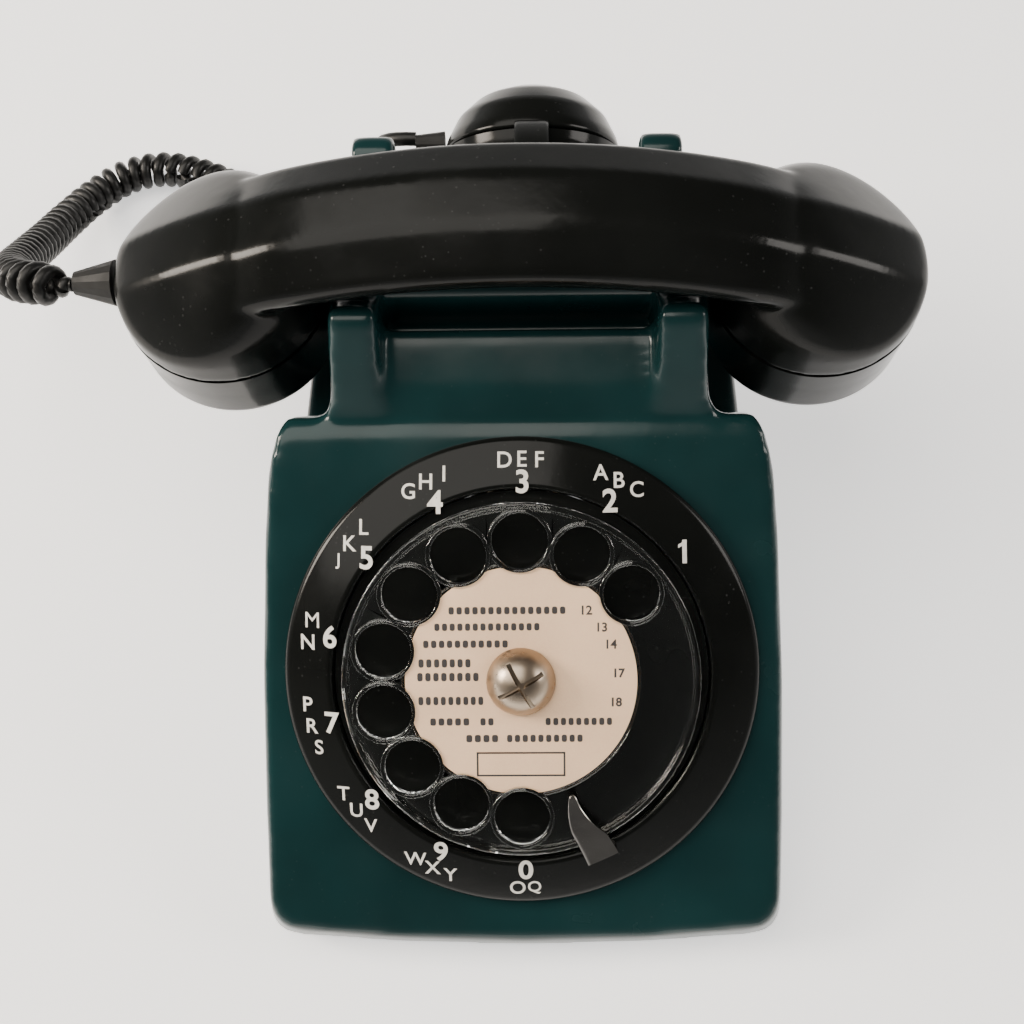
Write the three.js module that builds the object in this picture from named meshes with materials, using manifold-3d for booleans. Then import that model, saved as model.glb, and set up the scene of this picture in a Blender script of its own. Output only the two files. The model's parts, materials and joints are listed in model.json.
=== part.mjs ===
// Rotary desk telephone: moulded hood with a two-rail cradle, dial with a clear finger wheel,
// handset, second earpiece hung at the rear, hook switch, ringer and circuit parts inside.
// Millimetres, +Z up, front towards -Y, origin on the table under the middle of the telephone.
import * as THREE from 'three';
import { mergeVertices } from 'three/addons/utils/BufferGeometryUtils.js';
import Module from 'manifold-3d';

const wasm = await Module();
wasm.setup();

// ---- driving dimensions ----
const DEPTH_SHIFT = -52.6;        // moves the dial centre forward of the origin
const GAP = 0.35;                 // between pieces that touch
const WALL = 2.6;                 // hood wall
const HOOD_BOTTOM = 4;
const DIAL_HEIGHT = 55;           // hood surface at the dial centre
const DIAL_TILT = THREE.MathUtils.degToRad(30);
const FRONT_Y = -70;
const REAR_Y = 142;
const SHOULDER_Y = 60;
const DECK_HEIGHT = 52;           // side decks under the handset's caps
const RAIL_INNER = 38;
const SEAT_HEIGHT = 113.5;
const SEAT_Y = 100;
const HORN_HEIGHT = 129;
const RING_RADIUS = 67.5;
const WHEEL_RADIUS = 50;
const WHEEL_TOP = 11.8;           // above the hood surface, along the dial's axis
const HOLE_RADIUS = 7.8;
const HOLE_PITCH_RADIUS = 39.3;
const HOLE_STEP = 180 / 7;        // degrees between finger holes
const CARD_RADIUS = 32.3;
const STOP_ANGLE = 155.6;         // degrees clockwise from the top of the dial
const GEAR_TEETH = 44;
const PINION_TEETH = 10;
const GEAR_RADIUS = 21.6;
const PINION_RADIUS = 5;
const HANDSET_Y = 100.7;
const HANDSET_TOP = 142.2;
const HANDSET_TILT = THREE.MathUtils.degToRad(5.7);
const HANDSET_ARC = 193;
const HEAD_X = 85.4;
const HEAD_RADIUS = 31;
const HEAD_SPLIT = -48;           // parting line between handle and cap, below the crown
const CAP_BOTTOM = -74;
const BAR_HALF_LENGTH = 108;
const SECOND_TILT = THREE.MathUtils.degToRad(70);   // its back faces rearwards and a little up
const SECOND_PLACE = [4, 161, 88];
const CORD_SIDES = 8;
const GLAND_X = 46;
const GLAND_END = 150;             // how far back the cord glands reach

const root = new THREE.Group();
root.position.set(0, DEPTH_SHIFT, 0);

// ---- materials ----
const finish = (color, roughness, metalness, opacity = 1) => new THREE.MeshStandardMaterial({
  color, roughness, metalness, opacity, transparent: opacity < 1,
});
const teal = finish(0x0b3a40, 0.25, 0);
const black = finish(0x101112, 0.22, 0);
const softBlack = finish(0x151515, 0.6, 0);
const clear = finish(0xdfe4e2, 0.08, 0, 0.35);
const paper = finish(0xe9dccb, 0.8, 0);
const chrome = finish(0xc8c8c8, 0.12, 1);
const steel = finish(0x8f9296, 0.4, 1);
const brass = finish(0xb08d4b, 0.35, 1);
const copper = finish(0x8a4a2a, 0.5, 0.6);
const bakelite = finish(0x5a3a22, 0.5, 0);

// ---- solids ----
function toSolid(geometry) {
  const bare = geometry.index ? geometry.toNonIndexed() : geometry.clone();
  bare.deleteAttribute('normal');
  bare.deleteAttribute('uv');
  const merged = mergeVertices(bare, 1e-4);
  return new wasm.Manifold(new wasm.Mesh({
    numProp: 3,
    vertProperties: new Float32Array(merged.attributes.position.array),
    triVerts: new Uint32Array(merged.index.array),
  }));
}

function toGeometry(solid) {
  const mesh = solid.getMesh();
  const geometry = new THREE.BufferGeometry();
  geometry.setAttribute('position', new THREE.BufferAttribute(new Float32Array(mesh.vertProperties), 3));
  geometry.setIndex(new THREE.BufferAttribute(new Uint32Array(mesh.triVerts), 1));
  geometry.computeVertexNormals();
  return geometry;
}

const cut = (body, ...tools) => toGeometry(
  tools.reduce((rest, tool) => rest.subtract(toSolid(tool)), toSolid(body)));
const join = (first, ...others) => toGeometry(
  others.reduce((sum, part) => sum.add(toSolid(part)), toSolid(first)));
const meet = (first, second) => toGeometry(toSolid(first).intersect(toSolid(second)));

function add(group, name, geometry, material) {
  const mesh = new THREE.Mesh(geometry, material);
  mesh.name = name;
  group.add(mesh);
  return mesh;
}

// A closed solid through rings of [x, y, z] points that all have the same count.
function loft(rings) {
  const count = rings[0].length;
  const positions = rings.flat(2);
  const faces = [];
  for (let level = 0; level < rings.length - 1; level += 1) {
    for (let i = 0; i < count; i += 1) {
      const a = level * count + i;
      const b = level * count + (i + 1) % count;
      faces.push(a, b, b + count, a, b + count, a + count);
    }
  }
  const last = (rings.length - 1) * count;
  const flat = rings[0].map(([x, y]) => new THREE.Vector2(x, y));
  const flatEnd = rings[rings.length - 1].map(([x, y]) => new THREE.Vector2(x, y));
  THREE.ShapeUtils.triangulateShape(flat, []).forEach(([a, b, c]) => faces.push(c, b, a));
  THREE.ShapeUtils.triangulateShape(flatEnd, [])
    .forEach(([a, b, c]) => faces.push(last + a, last + b, last + c));
  const geometry = new THREE.BufferGeometry();
  geometry.setAttribute('position', new THREE.Float32BufferAttribute(positions, 3));
  geometry.setIndex(faces);
  return geometry;
}

// A side view of [y, z] points carried across from x0 to x1.
function sideSlab(points, x0, x1) {
  const shape = new THREE.Shape(points.map(([y, z]) => new THREE.Vector2(y, z)));
  const slab = new THREE.ExtrudeGeometry(shape, { depth: x1 - x0, bevelEnabled: false });
  slab.applyMatrix4(new THREE.Matrix4().makeBasis(
    new THREE.Vector3(0, 1, 0), new THREE.Vector3(0, 0, 1), new THREE.Vector3(1, 0, 0)));
  return slab.translate(x0, 0, 0);
}

// A turned piece from [radius, height] points, about Z. The outline is put anticlockwise first.
function turned(profile, segments = 36) {
  const points = profile.map(([r, h]) => new THREE.Vector2(r, h));
  if (THREE.ShapeUtils.area(points) < 0) points.reverse();
  const onAxis = profile[0][0] === 0 && profile[profile.length - 1][0] === 0;
  if (!onAxis) points.push(points[0].clone());
  return new THREE.LatheGeometry(points, segments).rotateX(Math.PI / 2);
}

const box = (x0, x1, y0, y1, z0, z1) => new THREE.BoxGeometry(x1 - x0, y1 - y0, z1 - z0)
  .translate((x0 + x1) / 2, (y0 + y1) / 2, (z0 + z1) / 2);
const rod = (radius, z0, z1, x = 0, y = 0, segments = 20) => new THREE.CylinderGeometry(
  radius, radius, z1 - z0, segments).rotateX(Math.PI / 2).translate(x, y, (z0 + z1) / 2);

// A round cord along hand-chosen points.
function cordTube(points, radius, steps) {
  const section = new THREE.Shape();
  section.absarc(0, 0, radius, 0, Math.PI * 2);
  const path = new THREE.CatmullRomCurve3(points.map((p) => new THREE.Vector3(...p)), false, 'centripetal');
  return new THREE.ExtrudeGeometry(section, { steps, curveSegments: CORD_SIDES / 2, extrudePath: path });
}

// ---- hood ----
const smooth = (low, high, value) => {
  const t = Math.min(1, Math.max(0, (value - low) / (high - low)));
  return t * t * (3 - 2 * t);
};
const SIDE_DRAFT = 0.155;
// Half the hood's width: slightly barrelled, drawn in at the front, drafted upwards,
// stepped in behind the dial.
const halfWidth = (y, z) => 80 + 3.5 * (1 - ((y - 35) / 105) ** 2)
  - 8 * smooth(52, 80, y) - 3.4 * smooth(-70, 40, -y - 30) - SIDE_DRAFT * (z - HOOD_BOTTOM);

// Plan outline at height z, anticlockwise: bowed front edge, rounded corners, barrelled sides.
function hoodRing(z, inset) {
  const right = [];
  const frontCorner = 9;
  const rearCorner = 12;
  const cornerSteps = 4;
  const front = FRONT_Y + inset + 0.05 * (z - HOOD_BOTTOM);
  const rear = REAR_Y - inset - 0.08 * (z - HOOD_BOTTOM);
  const frontX = halfWidth(FRONT_Y + frontCorner, z) - inset;
  const rearX = halfWidth(REAR_Y - rearCorner, z) - inset;
  right.push([0, front, z], [36, front + 0.8, z]);
  for (let i = 0; i <= cornerSteps; i += 1) {
    const a = -Math.PI / 2 + (i / cornerSteps) * Math.PI / 2;
    right.push([frontX - frontCorner + frontCorner * Math.cos(a),
      front + 3 + frontCorner + frontCorner * Math.sin(a), z]);
  }
  [-35, 0, 35, 52, 59, 66, 73, 80, 100].forEach((y) => right.push([halfWidth(y, z) - inset, y, z]));
  for (let i = 0; i <= cornerSteps; i += 1) {
    const a = (i / cornerSteps) * Math.PI / 2;
    right.push([rearX - rearCorner + rearCorner * Math.cos(a),
      rear - rearCorner + rearCorner * Math.sin(a), z]);
  }
  const left = right.slice(1).reverse().map(([x, y]) => [-x, y, z]);
  return [...right, ...left];
}

const slopeHeight = (y) => DIAL_HEIGHT + Math.tan(DIAL_TILT) * y;
// The lower body: dial slope, shoulder, and the low decks beside the cradle tower.
function lowerBody(inset, bottom) {
  const drop = inset / Math.cos(DIAL_TILT);
  const slopeStart = (bottom + drop - DIAL_HEIGHT) / Math.tan(DIAL_TILT);
  const side = [
    [slopeStart, bottom], [SHOULDER_Y - inset * 0.4, slopeHeight(SHOULDER_Y) - drop],
    [SHOULDER_Y + 4 - inset, slopeHeight(SHOULDER_Y) - drop], [SHOULDER_Y + 9 - inset, 82 - inset],
    [74 - inset, DECK_HEIGHT + 6 - inset], [80 - inset, DECK_HEIGHT - inset],
    [160, DECK_HEIGHT - 5 - inset], [160, bottom],
  ];
  return meet(loft([hoodRing(bottom, inset), hoodRing(100, inset)]), sideSlab(side, -100, 100));
}

// Plan of the tower: it flares outwards where its front runs down into the dial slope.
function towerRing(z, flare, width, inset) {
  const right = [[flare - inset, 52], [flare - inset, 61], [width + 0.3 * (flare - width) - inset, 67],
    [width - inset, 73], [width - inset, 133 - inset], [width - 5 - inset, 150]];
  const ring = right.map(([x, y]) => [x, y, z]);
  return [...ring, ...right.reverse().map(([x, y]) => [-x, y, z])];
}
const towerBlock = (inset) => loft([
  towerRing(30, 62, 53.5, inset), towerRing(84, 62, 53, inset), towerRing(92, 55, 52.6, inset),
  towerRing(100, 53, 52.3, inset), towerRing(135, 51, 51, inset),
]);
const seatLine = (y) => SEAT_HEIGHT + Math.tan(HANDSET_TILT) * (y - SEAT_Y);
const railSide = [
  [59, 40], [60.6, 87], [64, 92], [68, 98], [79.4, 114.6], [81, 116], [84.4, 116], [88.5, seatLine(88.5)],
  [111, seatLine(111) - 0.3], [121, 114.9], [133, 114.6], [135, 112], [138.4, 46], [138.4, 40],
];
const troughSide = [
  [59, 40], [60.6, 87], [64, 91.6], [69, 96], [83.6, 104], [85, 103.4], [86, 93], [91.5, 93],
  [92.5, 108], [94, 109.6], [112, 112.5], [130.5, 114], [134.6, 112], [138.4, 46], [138.4, 40],
];
// Side views drawn inwards for the hollow: the same lines, lowered and pulled in by the wall.
const railInner = [
  [62, 20], [62.6, 84], [66.4, 90], [70.6, 96], [83, 113], [88.5, seatLine(88.5) - WALL],
  [111, seatLine(111) - WALL - 0.6], [130, 111.6], [132.3, 109.6], [135.8, 46], [135.8, 20],
];
const troughInner = [
  [62, 20], [62.6, 84], [65.6, 88.4], [70.4, 92.8], [82.6, 99.6], [83.2, 90.2], [94.6, 90.2],
  [95.2, 106.8], [112, 109.8], [130, 111.2], [132.2, 109.6], [135.8, 46], [135.8, 20],
];
const HORN_OUTER = 45.5;
const HORN_INNER = 33.5;
const hornSide = [
  [121, 108], [122.2, 119.8], [123.2, HORN_HEIGHT - 1.5], [125, HORN_HEIGHT], [130, HORN_HEIGHT],
  [132.5, HORN_HEIGHT - 2], [134.2, 114], [134.6, 108],
];

const dialFrame = new THREE.Matrix4().makeRotationX(DIAL_TILT).setPosition(0, 0, DIAL_HEIGHT);
const inDialFrame = (geometry) => geometry.clone().applyMatrix4(dialFrame);

function bodyShell() {
  const rails = [-1, 1].map((s) => sideSlab(railSide, s < 0 ? -70 : RAIL_INNER, s < 0 ? -RAIL_INNER : 70));
  const horns = [-1, 1].map((s) => sideSlab(hornSide,
    s < 0 ? -HORN_OUTER : HORN_INNER, s < 0 ? -HORN_INNER : HORN_OUTER));
  const outer = join(lowerBody(0, HOOD_BOTTOM),
    meet(towerBlock(0), join(sideSlab(troughSide, -RAIL_INNER - 1, RAIL_INNER + 1), ...rails, ...horns)));
  const innerRails = [-1, 1].map((s) => sideSlab(railInner,
    s < 0 ? -70 : RAIL_INNER + WALL, s < 0 ? -RAIL_INNER - WALL : 70));
  const inner = join(lowerBody(WALL, HOOD_BOTTOM - 1),
    meet(towerBlock(WALL), join(sideSlab(troughInner, -RAIL_INNER - 3, RAIL_INNER + 3), ...innerRails)));
  const hookHoles = [-1, 1].map((s) => rod(3.4, 105, 125, s * 45, SEAT_Y));
  const dialHole = inDialFrame(rod(56, -12, 12, 0, 0, 48));
  const glandHole = new THREE.CylinderGeometry(4.6, 4.6, 30, 16);
  const glandHoles = [-GLAND_X, 0, GLAND_X].map((x) => glandHole.clone().translate(x, 140, 16));
  const soundSlots = [52, 57, 62].map((z) => box(-24, 24, 130, 150, z, z + 2));
  return cut(outer, inner, dialHole, ...hookHoles, ...glandHoles, ...soundSlots);
}
add(root, 'body_shell', bodyShell(), teal);

// ---- base ----
const basePlate = loft([hoodRing(4.2, WALL + GAP + 0.2), hoodRing(6, WALL + GAP + 0.5)]);
const FOOT_X = 62;
const FOOT_Y = [-50, 118];
const BOSS_X = 60;
const bossHoles = [-1, 1].map((s) => rod(2.4, 0, 12, s * BOSS_X, 40));
const vents = [-2, -1, 0, 1, 2].map((i) => box(i * 12 - 2.5, i * 12 + 2.5, 84, 108, 0, 12));
add(root, 'base_plate', cut(basePlate, ...bossHoles, ...vents), steel);
FOOT_Y.forEach((y, row) => [-1, 1].forEach((s) => {
  const name = `foot_${row ? 'rear' : 'front'}_${s < 0 ? 'left' : 'right'}`;
  const foot = turned([[0, 0], [7, 0], [8, 1], [8, 3.8], [0, 3.8]], 24);
  add(root, name, foot.translate(s * FOOT_X, y, 0), softBlack);
}));
[-1, 1].forEach((s) => {
  const screw = turned([[0, 1.6], [4, 1.6], [4.2, 3], [4.2, 3.8], [2, 3.8], [2, 16], [0, 16]], 16);
  const slot = box(-5, 5, -0.5, 0.5, 0, 2.4);
  add(root, `base_screw_${s < 0 ? 'left' : 'right'}`, cut(screw, slot).translate(s * BOSS_X, 40, 0), steel);
});

// ---- dial, fixed pieces ----
const dial = new THREE.Group();
dial.position.set(0, 0, DIAL_HEIGHT);
dial.rotation.x = DIAL_TILT;
root.add(dial);
add(dial, 'number_ring', turned([[53.2, 0.4], [RING_RADIUS, 0.4], [RING_RADIUS, 2.4], [66.4, 3.4],
  [54.6, 7.4], [53.2, 7]], 54), black);
add(dial, 'dial_housing', turned([[4.4, 2.2], [35.5, 2.2], [35.5, -18], [38, -18], [38, 2.2],
  [52.8, 2.2], [52.8, 4.6], [4.4, 4.6]], 48), black);
add(dial, 'dial_backplate', cut(turned([[4.4, -17.5], [35, -17.5], [35, -15.5], [4.4, -15.5]], 36),
  rod(1.7, -20, -10, 19.1, 19.1)), steel);
add(dial, 'mainspring_drum', turned([[6, -14], [15, -14], [15, -8], [6, -8]], 28), brass);

function fingerStop() {
  const outline = new THREE.Shape();
  outline.moveTo(-4.7, 54.9);
  outline.lineTo(4.7, 54.9);
  outline.quadraticCurveTo(6.2, 43, 1.8, 35.1);
  outline.quadraticCurveTo(0.5, 33.4, -0.8, 35.1);
  outline.quadraticCurveTo(-1, 46.5, -4.7, 54.9);
  const blade = new THREE.ExtrudeGeometry(outline, { depth: 1.3, bevelEnabled: false, curveSegments: 5 })
    .translate(0, 0, 14);
  const foot = box(-4.6, 0.6, 53.4, 54.9, 7.8, 15.3);
  return join(blade, foot).rotateZ(-THREE.MathUtils.degToRad(STOP_ANGLE));
}
add(dial, 'finger_stop', fingerStop(), chrome);

// ---- dial, turning pieces ----
const holeAngles = Array.from({ length: 10 }, (_, i) => 90 - 2 * HOLE_STEP + i * HOLE_STEP);
const holeTools = (radius, z0, z1) => holeAngles.map((a) => rod(radius, z0, z1,
  HOLE_PITCH_RADIUS * Math.cos(THREE.MathUtils.degToRad(a)),
  HOLE_PITCH_RADIUS * Math.sin(THREE.MathUtils.degToRad(a)), 16));
const wheelDisc = turned([[3.4, 9.2], [49.2, 9.2], [WHEEL_RADIUS, 9.9], [WHEEL_RADIUS, 12.4],
  [48.6, 12.4], [48, WHEEL_TOP - 0.6], [33.2, WHEEL_TOP - 0.6], [33, 10.6], [3.4, 10.6]], 48);
add(dial, 'finger_wheel', cut(wheelDisc, ...holeTools(HOLE_RADIUS, 5, 15)), clear);
const cardDisc = turned([[4, 10.95], [CARD_RADIUS, 10.95], [CARD_RADIUS, 11.35], [4, 11.35]], 48);
add(dial, 'label_card', cut(cardDisc, ...holeTools(HOLE_RADIUS + 0.9, 5, 15)), paper);
const capDome = turned([[0, 11.75], [9.6, 11.75], [9.8, 12.4], [9.2, 14.2], [7.8, 16.8], [5.6, 18.9],
  [3, 20.2], [0, 20.7]], 32);
const capSlots = [box(-7, 7, -0.6, 0.6, 18.4, 23), box(-0.6, 0.6, -7, 7, 18.4, 23)];
add(dial, 'centre_cap', cut(capDome, ...capSlots), chrome);
add(dial, 'dial_spindle', turned([[0, -19], [3, -19], [3, 11.4], [0, 11.4]], 20), steel);

function toothedDisc(teeth, radius, depth, bore, z0, z1) {
  const shape = new THREE.Shape();
  for (let i = 0; i < teeth; i += 1) {
    [[0, radius - depth], [0.3, radius - depth], [0.45, radius], [0.85, radius]].forEach(([part, r], k) => {
      const a = ((i + part) / teeth) * Math.PI * 2;
      const point = [r * Math.cos(a), r * Math.sin(a)];
      if (i === 0 && k === 0) shape.moveTo(...point);
      else shape.lineTo(...point);
    });
  }
  const hole = new THREE.Path();
  hole.absarc(0, 0, bore, 0, Math.PI * 2, true);
  if (bore) shape.holes.push(hole);
  return new THREE.ExtrudeGeometry(shape, { depth: z1 - z0, bevelEnabled: false, curveSegments: 8 })
    .translate(0, 0, z0);
}
add(dial, 'drive_gear', toothedDisc(GEAR_TEETH, GEAR_RADIUS, 1.2, 3.4, -6, -3), brass);
const governorDistance = GEAR_RADIUS + PINION_RADIUS + 0.4;
const governorX = governorDistance * Math.SQRT1_2;
const governor = join(toothedDisc(PINION_TEETH, PINION_RADIUS, 0.9, 0, -6.5, -2.5),
  rod(1.4, -19, -2.5), rod(6.2, -12.5, -9.5)).translate(governorX, governorX, 0);
add(dial, 'governor_rotor', governor, brass);
add(dial, 'governor_cup', turned([[6.7, -14.5], [8, -14.5], [8, -8], [6.7, -8]], 24)
  .translate(governorX, governorX, 0), steel);
add(dial, 'pulse_contacts', box(-32, -24, -5, 5, -14, -8), bakelite);

// ---- hook switch ----
add(root, 'hook_yoke', join(box(-47, 47, 97, 103, 84, 87), box(-2, 2, 99, 101, 76, 85)), steel);
[-1, 1].forEach((s) => add(root, `hook_plunger_${s < 0 ? 'left' : 'right'}`,
  turned([[0, 87.4], [2.9, 87.4], [2.9, 114.3], [2.2, 114.8], [0, 114.8]], 16).translate(s * 45, SEAT_Y, 0),
  softBlack));
add(root, 'hook_switch', join(box(-12, 12, 92, 108, 58, 66), box(-10, -7, 97, 103, 65, 82),
  box(7, 10, 97, 103, 65, 82)), bakelite);

// ---- ringer and circuit ----
const GONG_X = 30;
const GONG_Y = 62;
[-1, 1].forEach((s) => {
  const side = s < 0 ? 'left' : 'right';
  add(root, `gong_${side}`, turned([[0, 32], [9, 32], [20, 26], [23, 18], [24, 12], [22.6, 12], [21.4, 18],
    [18.6, 25], [8.6, 30.4], [0, 30.4]], 24).translate(s * GONG_X, GONG_Y, 0), brass);
  add(root, `gong_post_${side}`, turned([[0, 6.4], [4, 6.4], [4, 30], [0, 30]], 16)
    .translate(s * GONG_X, GONG_Y, 0), steel);
  add(root, `ringer_coil_${side}`, turned([[0, 12], [7.5, 12], [7.5, 34], [0, 34]], 20)
    .translate(s * 9, 96, 0), copper);
});
add(root, 'ringer_frame', join(box(-22, 22, 86, 106, 9.5, 11.6), box(-20, -18, 90, 102, 6.4, 10),
  box(18, 20, 90, 102, 6.4, 10)), steel);
const striker = new THREE.SphereGeometry(3.4, 16, 10).translate(0, 64, 16);
const clapper = join(box(-1, 1, 66, 88, 15, 17), striker,
  box(-14, 14, 85.5, 88.3, 36, 39), box(-1, 1, 85.5, 88.3, 15, 37));
add(root, 'clapper', clapper, steel);
add(root, 'transformer', box(-66, -36, -2, 26, 6.4, 28), steel);
add(root, 'capacitor', rod(9, 0, 40, 0, 0, 24).rotateX(Math.PI / 2).translate(50, 30, 16), steel);
const terminalBoard = join(box(-62, -30, 104, 128, 9, 11), box(-60, -32, 108, 124, 10.5, 16));
add(root, 'terminal_board', terminalBoard, bakelite);

// ---- cord glands ----
const gland = (x, bore) => turned([[bore, 0], [3.6, 0], [3.6, 2.5], [4.2, 2.5], [4.2, 10],
  [6.4, 10], [5.4, 18], [bore, 18]], 16).rotateX(-Math.PI / 2).translate(x, GLAND_END - 18, 16);
add(root, 'handset_cord_gland', gland(-GLAND_X, 0.8), softBlack);
add(root, 'line_cord_inlet', gland(0, 2.8), softBlack);
add(root, 'earpiece_cord_gland', gland(GLAND_X, 0.8), softBlack);

// ---- handset ----
const handset = new THREE.Group();
handset.position.set(0, HANDSET_Y, HANDSET_TOP);
handset.rotation.x = HANDSET_TILT;
root.add(handset);
const barSection = [[7.6, 0], [20, -6.2], [20.8, -9.6], [18.6, -15], [13, -20]];
function bar() {
  const rings = [];
  for (let i = 0; i <= 16; i += 1) {
    const lean = (i / 16 * 2 - 1) * Math.asin(BAR_HALF_LENGTH / HANDSET_ARC);
    // A ring's points are [across, up, along]: the end faces are filled over the first two.
    const point = ([v, w]) => [
      v, (HANDSET_ARC + w) * Math.cos(lean) - HANDSET_ARC, (HANDSET_ARC + w) * Math.sin(lean),
    ];
    const ring = [...barSection.map(([v, w]) => [-v, w]), ...barSection.slice().reverse()];
    rings.push(ring.map(point));
  }
  return loft(rings).applyMatrix4(new THREE.Matrix4().makeBasis(
    new THREE.Vector3(0, 1, 0), new THREE.Vector3(0, 0, 1), new THREE.Vector3(1, 0, 0)));
}
const headOuter = [[0, -21], [16, -23.5], [25, -29], [HEAD_RADIUS - 1.2, -37], [HEAD_RADIUS, -42],
  [HEAD_RADIUS, HEAD_SPLIT], [0, HEAD_SPLIT]];
const headInner = [[0, -30], [20, -32], [26.5, -38], [27.4, HEAD_SPLIT - 1], [0, HEAD_SPLIT - 1]];
const underBox = (s) => box(s * HEAD_X - 28, s * HEAD_X + 28, -28, 28, HEAD_SPLIT - 40, HEAD_SPLIT);
const heads = [-1, 1].map((s) => turned(headOuter, 40).translate(s * HEAD_X, 0, 0));
const headHollows = [-1, 1].map((s) => turned(headInner, 32).translate(s * HEAD_X, 0, 0));
const handle = cut(join(bar(), ...heads), ...headHollows, ...[-1, 1].map(underBox));
add(handset, 'handset_handle', handle, black);
const capProfile = [[30.9, HEAD_SPLIT - GAP], [30.6, -58], [30.4, -70.5], [29.4, -73.2], [27, CAP_BOTTOM],
  [0, CAP_BOTTOM + 1.2], [0, CAP_BOTTOM + 3.4], [25, -71], [27, -66], [27.4, HEAD_SPLIT - GAP]];
const capHoles = Array.from({ length: 6 }, (_, i) => rod(1.2, -80, -60,
  9 * Math.cos(i * Math.PI / 3), 9 * Math.sin(i * Math.PI / 3), 6));
[-1, 1].forEach((s) => {
  const side = s < 0 ? 'mouthpiece' : 'earpiece';
  const cap = cut(turned(capProfile, 32), ...capHoles).translate(s * HEAD_X, 0, 0);
  add(handset, `${side}_cap`, cap, black);
  const capsule = turned([[0, -69], [20, -69], [24, -64], [24, -52], [0, -52]], 28);
  const capsuleName = s < 0 ? 'microphone_capsule' : 'receiver_capsule';
  add(handset, capsuleName, capsule.translate(s * HEAD_X, 0, 0), steel);
});

// Strain relief where the curly cord leaves the mouthpiece end.
const relief = (r0, r1, length) => turned([[0, 0], [r0, 0], [r1, length], [0, length]], 16);
add(handset, 'handset_strain_relief', relief(6.8, 3.4, 12).rotateY(-Math.PI / 2)
  .translate(-HEAD_X - HEAD_RADIUS - GAP, 0, -46), softBlack);

// ---- second earpiece ----
const second = new THREE.Group();
second.position.set(...SECOND_PLACE);
second.rotation.x = -SECOND_TILT;
root.add(second);
// Local +Z points away from the telephone, out of the domed back.
const hangerSide = [[123.5, 114.8], [123.5, 116.4], [138, 115.9], [151.5, 112.4], [153, 107],
  [150, 107], [149.2, 111], [137, 114.3]];
const toSecond = new THREE.Matrix4().makeRotationX(-SECOND_TILT).setPosition(...SECOND_PLACE).invert();
const hanger = sideSlab(hangerSide, SECOND_PLACE[0] - 5, SECOND_PLACE[0] + 5).applyMatrix4(toSecond);
const domeBack = turned([[0, 15], [9, 14], [17, 10.6], [23, 5], [26.4, -2], [26.8, -5], [0, -5]], 36);
const domeHollow = turned([[0, 11], [12, 9], [19, 4.5], [23.4, -6], [0, -6]], 24);
add(second, 'second_earpiece_shell', cut(join(domeBack, hanger), domeHollow), black);
add(second, 'second_earpiece_cap', turned([[26.9, -5.5], [26.4, -10], [23.5, -13.6], [21, -14], [0, -12.6],
  [0, -10.2], [21, -11.4], [23.4, -8], [23.4, -5.5]], 36), black);
add(second, 'second_earpiece_capsule', turned([[0, -9.4], [19, -9.4], [21, -6], [18, 2], [0, 4]], 28), steel);
add(second, 'second_strain_relief', relief(3.6, 2.6, 9).rotateY(-Math.PI / 2)
  .translate(-26.6 - GAP, 0, -1), softBlack);

// ---- cords ----
const handsetCordRoute = [
  [-129.7, 105.5, 95.2], [-140, 107.5, 93], [-151, 114, 85], [-159.5, 127, 70], [-164, 145, 51],
  [-166, 164, 33], [-165.5, 183, 18], [-160, 199, 9.5], [-149.5, 209.5, 7], [-136, 212.5, 7],
  [-122, 209.5, 7], [-108, 203, 7], [-93, 194.5, 7], [-77, 184, 7.5], [-64, 173, 9.5],
  [-52, 166, 12.8], [-46.5, 158.5, 15.8], [-46, 151.4, 16],
];
add(root, 'handset_cord', cordTube(handsetCordRoute, 6.2, 26), softBlack);
const COIL_CENTRE = [8, 197];
const COIL_RADIUS = 29;
const SECOND_CORD = 4.4;
const COIL_TOP = 0.3 + 2 * SECOND_CORD;
const coilRing = turned([[COIL_RADIUS - SECOND_CORD, 0.3], [COIL_RADIUS + SECOND_CORD, 0.3],
  [COIL_RADIUS + SECOND_CORD, COIL_TOP], [COIL_RADIUS - SECOND_CORD, COIL_TOP]], 36);
add(root, 'second_cord_coil', coilRing.translate(...COIL_CENTRE, 0), softBlack);
const dropRoute = [
  [-33, 162, 87.4], [-38, 162.4, 87], [-43, 164.5, 83], [-45.5, 168, 74], [-46.5, 173, 58],
  [-46, 178, 40], [-44, 183, 22], [-40.5, 188, 9], [-35, 192, 3.4], [-27.8, 194, 2.6],
];
const returnRoute = [[41, 180.5, 2.8], [44.5, 174, 5], [46, 167, 9.5],
  [46.3, 161, 13.5], [46, 156, 15.8], [46, 150.6, 16]];
add(root, 'second_cord_drop', cordTube(dropRoute, SECOND_CORD / 2, 28), softBlack);
add(root, 'second_cord_return', cordTube(returnRoute, SECOND_CORD / 2, 10), softBlack);

export default root;
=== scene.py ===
"""Rotary telephone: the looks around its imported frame, laid out as an add-on and run as a script.

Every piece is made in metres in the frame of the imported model: +Z up, front towards -Y.
Sizes written in millimetres are turned into metres by place().
"""

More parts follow.
